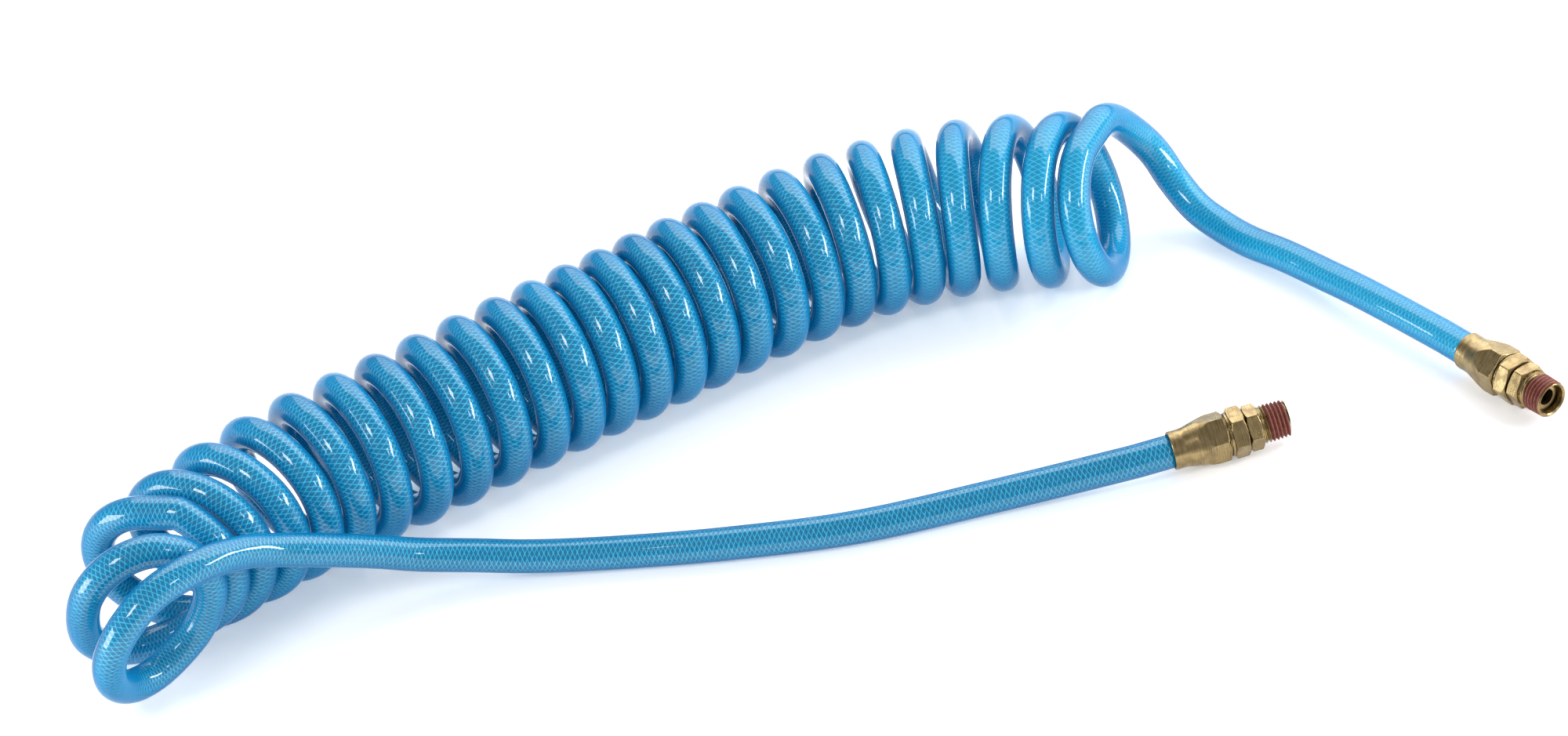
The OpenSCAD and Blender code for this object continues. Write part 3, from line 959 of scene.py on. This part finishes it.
class Workbench:
    """Modelling operators for pieces that stand on a fitting's axis, in millimetres."""

    STEPS_ROUND = 96
    WELD = 1e-4
    RUBBED_AND_HIGHLIGHT_WIDTH = 0.2
    SHARP_EDGE = math.radians(11)
    FLAT_FACE = math.radians(38)

    @staticmethod
    def clear() -> None:
        """Leave edit mode and let go of everything."""
        if bpy.context.object is not None and bpy.context.object.mode != "OBJECT":
            bpy.ops.object.mode_set(mode="OBJECT")
        bpy.ops.object.select_all(action="DESELECT")

    @classmethod
    def pick(cls, obj: bpy.types.Object) -> None:
        """Make one piece the only one picked.

        Args:
            obj: the piece.
        """
        cls.clear()
        obj.select_set(True)
        bpy.context.view_layer.objects.active = obj

    @classmethod
    def apply(cls, obj: bpy.types.Object, modifier: bpy.types.Modifier) -> None:
        """Apply a piece's modifier."""
        cls.pick(obj)
        bpy.ops.object.modifier_apply(modifier=modifier.name)

    @staticmethod
    def edit_edges(obj: bpy.types.Object, wanted: Callable[[bpy.types.MeshEdge], bool]) -> None:
        """Go into edit mode with only some edges selected.

        Args:
            obj: the piece.
            wanted: whether an edge is selected.
        """
        bpy.context.tool_settings.mesh_select_mode = (False, True, False)
        for part in (obj.data.vertices, obj.data.edges, obj.data.polygons):
            part.foreach_set("select", [False] * len(part))
        for edge in obj.data.edges:
            edge.select = bool(wanted(edge))
        bpy.ops.object.mode_set(mode="EDIT")

    @staticmethod
    def face_outwards() -> None:
        """In edit mode, turn every face outwards, and go back to object mode."""
        bpy.ops.mesh.select_all(action="SELECT")
        bpy.ops.mesh.normals_make_consistent(inside=False)
        bpy.ops.object.mode_set(mode="OBJECT")

    @staticmethod
    def points(obj: bpy.types.Object) -> np.ndarray:
        """Read where a piece's points are.

        Args:
            obj: the piece.

        Returns:
            A row of coordinates for each point.
        """
        rows = np.empty((len(obj.data.vertices), 3))
        obj.data.vertices.foreach_get("co", rows.ravel())
        return rows

    @classmethod
    def outline(cls, name: str, profile: Profile, closed: bool) -> bpy.types.Object:
        """Set out half a section beside the axis.

        Args:
            name: the piece's name.
            profile: radius and station of each corner.
            closed: whether the last corner joins the first.

        Returns:
            The outline.
        """
        cls.clear()
        bpy.ops.mesh.primitive_circle_add(vertices=len(profile), radius=1.0, fill_type="NOTHING")
        obj = bpy.context.active_object
        obj.name = obj.data.name = name
        for vertex, (radius, station) in zip(obj.data.vertices, profile):
            vertex.co = (radius, 0.0, station)
        if not closed:
            cls.edit_edges(obj, lambda edge: set(edge.vertices) == {0, len(profile) - 1})
            bpy.ops.mesh.delete(type="EDGE")
            bpy.ops.object.mode_set(mode="OBJECT")
        return obj

    @classmethod
    def lathe(
        cls, name: str, profile: Profile, steps: int = STEPS_ROUND, rise: float = 0.0, rounds: int = 1
    ) -> bpy.types.Object:
        """Spin an outline round the axis.

        Args:
            name: the piece's name.
            profile: radius and station of each corner.
            steps: faces round the axis.
            rise: climb in each round, for a thread.
            rounds: number of rounds.

        Returns:
            The turned piece.
        """
        obj = cls.outline(name, profile, closed=rise == 0.0)
        screw = obj.modifiers.new("lathe", "SCREW")
        screw.axis, screw.angle, screw.screw_offset, screw.iterations = "Z", math.tau, rise, rounds
        screw.steps = screw.render_steps = steps
        screw.use_merge_vertices, screw.merge_threshold = True, cls.WELD
        cls.apply(obj, screw)
        bpy.ops.object.mode_set(mode="EDIT")
        bpy.ops.mesh.select_all(action="SELECT")
        bpy.ops.mesh.remove_doubles(threshold=cls.WELD)
        cls.face_outwards()
        return obj

    @classmethod
    def hexagon(
        cls, flats: float, start: float, stop: float, turn: float, rounding: float
    ) -> bpy.types.Object:
        """A hexagonal bar with rounded corners.

        Args:
            flats: width across the flats.
            start: station of its lower face.
            stop: station of its upper face.
            turn: its turn about the axis, in degrees.
            rounding: how far each corner is cut back along the flats.

        Returns:
            The bar.
        """
        cls.clear()
        bpy.ops.mesh.primitive_cylinder_add(
            vertices=6,
            radius=flats / 2 / math.cos(math.pi / 6),
            depth=stop - start,
            location=(0, 0, (start + stop) / 2),
            rotation=(0, 0, math.radians(turn + 30)),
        )
        obj = bpy.context.active_object
        bpy.ops.object.transform_apply()
        height = cls.points(obj)[:, 2]
        cls.edit_edges(obj, lambda edge: np.ptp(height[list(edge.vertices)]) > (stop - start) / 2)
        bpy.ops.mesh.bevel(offset=rounding, segments=3, affect="EDGES")
        bpy.ops.object.mode_set(mode="OBJECT")
        return obj

    @classmethod
    def combine(cls, obj: bpy.types.Object, tool: bpy.types.Object, cut: Cut) -> bpy.types.Object:
        """Let one solid act on another, and clear it away.

        Args:
            obj: the solid that is changed.
            tool: the solid that acts on it.
            cut: how it acts.

        Returns:
            The changed solid.
        """
        boolean = obj.modifiers.new("cut", "BOOLEAN")
        boolean.object, boolean.operation, boolean.solver = tool, cut.value, "EXACT"
        cls.apply(obj, boolean)
        bpy.data.objects.remove(tool)
        return obj

    @classmethod
    def soften(cls, obj: bpy.types.Object) -> bpy.types.Object:
        """Break the sharp edges, and give the strips so made the second material, of rubbed edges painted
        bright as highlight lines.

        Args:
            obj: the piece.

        Returns:
            The same piece.
        """
        bevel = obj.modifiers.new("broken_edges", "BEVEL")
        bevel.width, bevel.segments, bevel.limit_method = cls.RUBBED_AND_HIGHLIGHT_WIDTH, 2, "ANGLE"
        # The bevel strips take the second material: rubbed edges painted bright as highlight lines.
        bevel.angle_limit, bevel.use_clamp_overlap, bevel.material = cls.SHARP_EDGE, False, 1
        cls.apply(obj, bevel)
        return obj

    @classmethod
    def smooth(cls, obj: bpy.types.Object) -> None:
        """Shade it smooth with its large faces kept flat.

        Args:
            obj: the piece.
        """
        cls.pick(obj)
        bpy.ops.object.shade_smooth_by_angle(angle=cls.FLAT_FACE)
        weigh = obj.modifiers.new("flat_faces", "WEIGHTED_NORMAL")
        weigh.keep_sharp, weigh.weight = True, 80
        cls.apply(obj, weigh)

    @classmethod
    def slice_away(cls, obj: bpy.types.Object, station: float, above: bool) -> None:
        """Cut a piece off square to the axis and close it.

        Args:
            obj: the piece.
            station: where it is cut.
            above: whether what lies above the cut goes, and not what lies below.
        """
        cls.pick(obj)
        bpy.ops.object.mode_set(mode="EDIT")
        bpy.ops.mesh.select_all(action="SELECT")
        bpy.ops.mesh.bisect(
            plane_co=(0, 0, station),
            plane_no=(0, 0, 1),
            use_fill=True,
            clear_inner=not above,
            clear_outer=above,
        )
        cls.face_outwards()


@dataclass
class SwivelFitting:
    """Clamp nut, barbed stem, swivel body and sealed thread on one end of the hose."""

    end: End
    mouth: Place
    heading: float
    nut_turn: float = 8.0
    stem_turn: float = 29.0
    swivel_turn: float = 23.0
    nut_flats: float = 15.9
    nut_corner_r: float = 9.1
    nut_nose_r: float = 6.85
    nut_nose_len: float = 4.9
    nut_cone_stop: float = 14.7
    nut_len: float = 20.2
    nut_rounding: float = 0.3
    nut_mouth_r: float = 6.15
    nut_seat_r: float = 6.4
    nut_seat_start: float = 4.9
    nut_seat_wide_r: float = 6.9
    nut_thread_r: float = 7.05
    nut_thread_start: float = 13.5
    stem_flats: float = 15.9
    stem_start: float = 1.2
    barb_start: float = 1.8
    barb_pitch: float = 3.1
    barb_rise: float = 0.4
    barbs: int = 4
    boss_start: float = 14.7
    boss_r: float = 7.0
    collar_start: float = 20.6
    collar_r: float = 7.75
    stem_hex_start: float = 21.5
    stem_hex_stop: float = 27.0
    swivel_flats: float = 14.3
    swivel_start: float = 27.3
    swivel_core_r: float = 6.9
    swivel_hole_r: float = 6.2
    neck_start: float = 32.2
    neck_r: float = 6.35
    thread_start: float = 32.7
    sealant_start: float = 34.7
    sealant_stop: float = 41.7
    tip: float = 42.4
    thread_r: float = 6.86
    thread_pitch: float = 1.411
    thread_depth: float = 1.0
    runout_rise: float = 0.3
    core_overlap: float = 0.6
    thread_steps: int = 72
    thread_rounds: int = 12
    thread_taper: float = 1 / 32
    tip_chamfer: float = 0.45
    mouth_chamfer: float = 0.5
    bore_r: float = 3.0
    hose_bore_r: float = 4.0
    counterbore_start: float = 38.4
    counterbore_r: float = 5.25
    lip_gap: float = 0.3
    bearing_gap: float = 0.05
    seal_len: float = 1.9
    seal_depth: float = 1.465
    sealant_proud: float = 0.05
    sealant_fill: float = 0.12
    sealant_bore_r: float = 5.3
    clear_r: float = 8.0
    hex_overshoot: float = 2.0
    hex_rounding: float = 0.25
    crest_depth: float = 0.7

    def build(self, finishes: Finishes) -> list[object]:
        """Build and dress every piece.

        Args:
            finishes: the object's materials.

        Returns:
            The pieces and the solids that stay in view.
        """
        brass = (finishes.brass, finishes.brass_edge)
        fixed, turning = self.end.body, self.end.turning_body
        made = {
            "clamp_nut": (self._clamp_nut(), brass, fixed, "brass"),
            "barbed_stem": (self._barbed_stem(), brass, fixed, "brass"),
            "swivel_body": (self._swivel_body(), brass, turning, "brass"),
            "thread_sealant": (self._thread_sealant(), (finishes.sealant,), turning, "thread_sealant"),
        }
        for part, (obj, *dress) in made.items():
            self._finish(obj, part, *dress)
        kept = [f"{self.end.value}_{part}" for part in ("hose_end", "clamp_collet", "swivel_seal")]
        for node, material in zip(kept, (finishes.clamped_tube, finishes.collet, finishes.rubber)):
            dress_node(node, material)
        return [obj for obj, *_ in made.values()] + [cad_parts[node] for node in kept]

    def _clamp_nut(self) -> bpy.types.Object:
        """The nut: plain nose, cone and hexagon, hollow for the hose, the collet and the stem.

        Returns:
            The nut.
        """
        corner, nose, seat = self.nut_corner_r, self.nut_nose_r, self.nut_seat_start
        nut = Workbench.lathe(
            "clamp_nut",
            [
                (self.nut_seat_r, 0.0), (nose - 0.35, 0.0), (nose - 0.1, 0.08), (nose, 0.35),
                (nose, self.nut_nose_len - 0.6),
                (nose + 0.04, self.nut_nose_len), (nose + 0.22, self.nut_nose_len + 0.9),
                (corner - 0.16, self.nut_cone_stop - 0.9), (corner - 0.03, self.nut_cone_stop - 0.2),
                (corner, self.nut_cone_stop + 0.5), (corner, self.nut_len - 0.75),
                (corner - 1.5, self.nut_len),
                (self.nut_thread_r, self.nut_len), (self.nut_thread_r, self.nut_thread_start),
                (self.nut_seat_wide_r, self.nut_thread_start - 0.4), (self.nut_seat_r, seat + 0.3),
                (self.nut_mouth_r, seat), (self.nut_mouth_r, 0.25),
            ],  # fmt: skip
        )
        over = self.hex_overshoot
        bar = Workbench.hexagon(self.nut_flats, -over, self.nut_len + over, self.nut_turn, self.nut_rounding)
        return Workbench.soften(Workbench.combine(nut, bar, Cut.KEEP_COMMON))

    def _chamfered_hexagon(
        self, name: str, flats: float, start: float, stop: float, turn: float, hole: float
    ) -> bpy.types.Object:
        """A hexagon whose corners are chamfered at both ends, with a hole through it.

        Args:
            name: the piece's name.
            flats: width across the flats.
            start: station of its lower face.
            stop: station of its upper face.
            turn: its turn about the axis, in degrees.
            hole: the hole's radius.

        Returns:
            The hexagon.
        """
        edge, clear = flats / 2 - 0.15, flats / 2 / math.cos(math.pi / 6) + 1
        drop = (clear - edge) / 2
        rims = [(edge, start), (clear, start + drop), (clear, stop - drop), (edge, stop)]
        blank = Workbench.lathe(name, [(hole, start), *rims, (hole, stop)])
        over = self.hex_overshoot
        bar = Workbench.hexagon(flats, start - over, stop + over, turn, self.hex_rounding)
        return Workbench.combine(blank, bar, Cut.KEEP_COMMON)

    def _barbed_stem(self) -> bpy.types.Object:
        """The stem: barbs in the hose, boss in the nut, collar, hexagon and spigot with its lip.

        Returns:
            The stem.
        """
        hose_r, first, boss, boss_r = self.hose_bore_r, self.barb_start, self.boss_start, self.boss_r
        barbs = []
        for i in range(1, self.barbs + 1):
            top = first + i * self.barb_pitch
            barbs += [(hose_r + self.barb_rise, top - 0.3), (hose_r, top)]
        lip = self.counterbore_start + self.lip_gap
        stem = Workbench.lathe(
            "barbed_stem",
            [
                (self.bore_r, self.stem_start), (hose_r - 0.3, self.stem_start),
                (hose_r, self.stem_start + 0.3), (hose_r, first), *barbs,
                (hose_r, boss), (boss_r - 0.4, boss), (boss_r, boss + 0.4), (boss_r, self.collar_start),
                (self.collar_r, self.collar_start), (self.collar_r, self.stem_hex_start + 0.2),
                (hose_r, self.stem_hex_start + 0.2), (hose_r, lip), (hose_r + 0.6, lip + 0.2),
                (hose_r + 0.6, lip + 0.6), (hose_r + 0.45, lip + 0.82), (hose_r + 0.2, lip + 0.9),
                (self.bore_r, lip + 0.9),
            ],  # fmt: skip
        )
        hole = hose_r - 0.3
        collar = self._chamfered_hexagon(
            "stem_hexagon", self.stem_flats, self.stem_hex_start, self.stem_hex_stop, self.stem_turn, hole
        )
        return Workbench.soften(Workbench.combine(stem, collar, Cut.JOIN))

    def _tapered(self, obj: bpy.types.Object) -> bpy.types.Object:
        """Draw a thread in towards the tip, and raise its roots where it runs out at the neck.

        Args:
            obj: the thread.

        Returns:
            The same thread.
        """
        points = Workbench.points(obj)
        radius = np.maximum(np.hypot(points[:, 0], points[:, 1]), 1e-9)
        along = np.maximum(points[:, 2] - self.thread_start, 0)
        rise = self.runout_rise * along
        wanted = np.minimum(radius - self.thread_taper * along, self.neck_r + 0.12 + rise)
        wanted = np.where(radius > self.bore_r, np.maximum(wanted, self.neck_r - 0.1 - rise), radius)
        points[:, :2] *= (wanted / radius)[:, None]
        obj.data.vertices.foreach_set("co", points.ravel())
        return obj

    def _thread(self, name: str, start: float, stop: float, proud: float, filled: float) -> bpy.types.Object:
        """A closed core with the pipe thread on it.

        Args:
            name: the piece's name.
            start: station where it is cut off below.
            stop: station where it is cut off above.
            proud: how far it stands out over the bare thread.
            filled: how much more its roots are filled.

        Returns:
            The core.
        """
        crest, root = self.thread_r - 0.02 + proud, self.thread_r - self.thread_depth + proud + filled
        below = self.thread_start - 3 * self.thread_pitch
        tooth = [
            (root, 0.0), (root, 0.09), (crest - 0.12, 0.59), (crest - 0.02, 0.64), (crest, 0.7055),
            (crest - 0.02, 0.771), (crest - 0.12, 0.821), (root, 1.321), (root, self.thread_pitch),
        ]  # fmt: skip
        core = Workbench.lathe(
            name, [(r, below + z) for r, z in tooth], self.thread_steps, self.thread_pitch, self.thread_rounds
        )
        # The rounds reach past both ends, which are cut off square.
        Workbench.slice_away(core, start, above=False)
        Workbench.slice_away(core, stop, above=True)
        return self._tapered(core)

    def _swivel_body(self) -> bpy.types.Object:
        """The swivel: hexagon, neck and tapered male thread with its chamfered tip.

        Returns:
            The swivel.
        """
        bore, core_r, clear = self.hose_bore_r + self.bearing_gap, self.swivel_core_r, self.clear_r
        seal_start, seal_r = self.neck_start - self.seal_len, bore + self.seal_depth
        core_stop = self.thread_start + self.core_overlap
        body = Workbench.lathe(
            "swivel_body",
            [
                (bore, self.swivel_start), (core_r, self.swivel_start), (core_r, self.neck_start - 0.2),
                (self.neck_r, self.neck_start - 0.2), (self.neck_r, core_stop),
                (bore, core_stop), (bore, self.neck_start), (seal_r, self.neck_start),
                (seal_r, seal_start), (bore, seal_start),
            ],  # fmt: skip
        )
        hexagon = self._chamfered_hexagon(
            "swivel_hexagon",
            self.swivel_flats,
            self.swivel_start,
            self.neck_start,
            self.swivel_turn,
            self.swivel_hole_r,
        )
        Workbench.combine(body, hexagon, Cut.JOIN)
        Workbench.soften(body)
        thread = self._thread("swivel_thread", self.thread_start, self.tip, 0.0, 0.0)
        rim = self.thread_r - self.thread_taper * (self.tip - self.thread_start) - self.tip_chamfer
        wide = self.counterbore_r + self.mouth_chamfer
        envelope = Workbench.lathe(
            "envelope",
            [
                (bore, self.thread_start + 0.01), (clear, self.thread_start + 0.01),
                (clear, self.tip - (clear - rim)), (rim, self.tip - 0.06), (rim - 0.06, self.tip),
                (wide, self.tip), (self.counterbore_r, self.tip - self.mouth_chamfer),
                (self.counterbore_r, self.counterbore_start), (bore, self.counterbore_start),
            ],  # fmt: skip
        )
        Workbench.combine(thread, envelope, Cut.KEEP_COMMON)
        Workbench.clear()
        thread.select_set(True)
        body.select_set(True)
        bpy.context.view_layer.objects.active = body
        bpy.ops.object.join()
        return body

    def _thread_sealant(self) -> bpy.types.Object:
        """The sealant: a skin on the thread that fills its roots a little.

        Returns:
            The skin.
        """
        first, last = self.sealant_start, self.sealant_stop
        skin = self._thread("thread_sealant", first, last, self.sealant_proud, self.sealant_fill)
        below, above, inner = first - 0.05, last + 0.1, self.sealant_bore_r
        sleeve = Workbench.lathe(
            "sleeve", [(inner, below), (self.clear_r, below), (self.clear_r, above), (inner, above)]
        )
        Workbench.combine(skin, sleeve, Cut.KEEP_COMMON)
        points = Workbench.points(skin)
        top = self.thread_r - self.thread_taper * np.maximum(points[:, 2] - self.thread_start, 0)
        height = np.hypot(points[:, 0], points[:, 1]) - top + self.crest_depth
        height = np.clip(height / self.crest_depth, 0, 1)
        skin.data.attributes.new("crest", "FLOAT", "POINT").data.foreach_set("value", height)
        return skin

    def _finish(
        self, obj: bpy.types.Object, part: str, materials: Sequence[bpy.types.Material], body: str, slot: str
    ) -> None:
        """Lay a piece in its place on the hose's end and dress it.

        Args:
            obj: the piece, upright in millimetres.
            part: the solid that it stands for, without the end's name.
            materials: its finishes.
            body: the body that it rides on.
            slot: the record's finish; not used.
        """
        Workbench.smooth(obj)
        obj.name = obj.data.name = f"{self.end.value}_{part}_dressed"
        obj.data.materials.clear()
        for material in materials:
            obj.data.materials.append(material)
        turned = obj.data.attributes.new("turned", "FLOAT_VECTOR", "POINT")
        turned.data.foreach_set("vector", Workbench.points(obj).ravel())
        lie = Matrix.Rotation(self.heading, 4, "Z") @ Matrix.Rotation(math.pi / 2, 4, "Y")
        obj.data.transform(Matrix.Translation(self.mouth) @ lie @ Matrix.Scale(MILLIMETRE, 4))
        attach(obj, body)
        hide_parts(f"{self.end.value}_{part}")
        log.info("%s: %d faces", obj.name, len(obj.data.polygons))


def main() -> None:
    """Build the studio, the hose and its two fittings."""
    logging.basicConfig(level=logging.INFO, format="%(name)s %(message)s")
    studio = Studio()
    studio.place_camera()
    studio.lay_floor()
    studio.light()
    finishes = Finishes.build()
    coiled = CoiledHose()
    hose = coiled.build(finishes.jacket, finishes.tube)
    inlet = SwivelFitting(End.INLET, coiled.inlet_mouth, coiled.inlet_heading)
    outlet = SwivelFitting(End.OUTLET, coiled.outlet_mouth, coiled.outlet_heading)
    inlet.build(finishes)
    outlet.build(finishes)


if __name__ == "__main__":
    main()
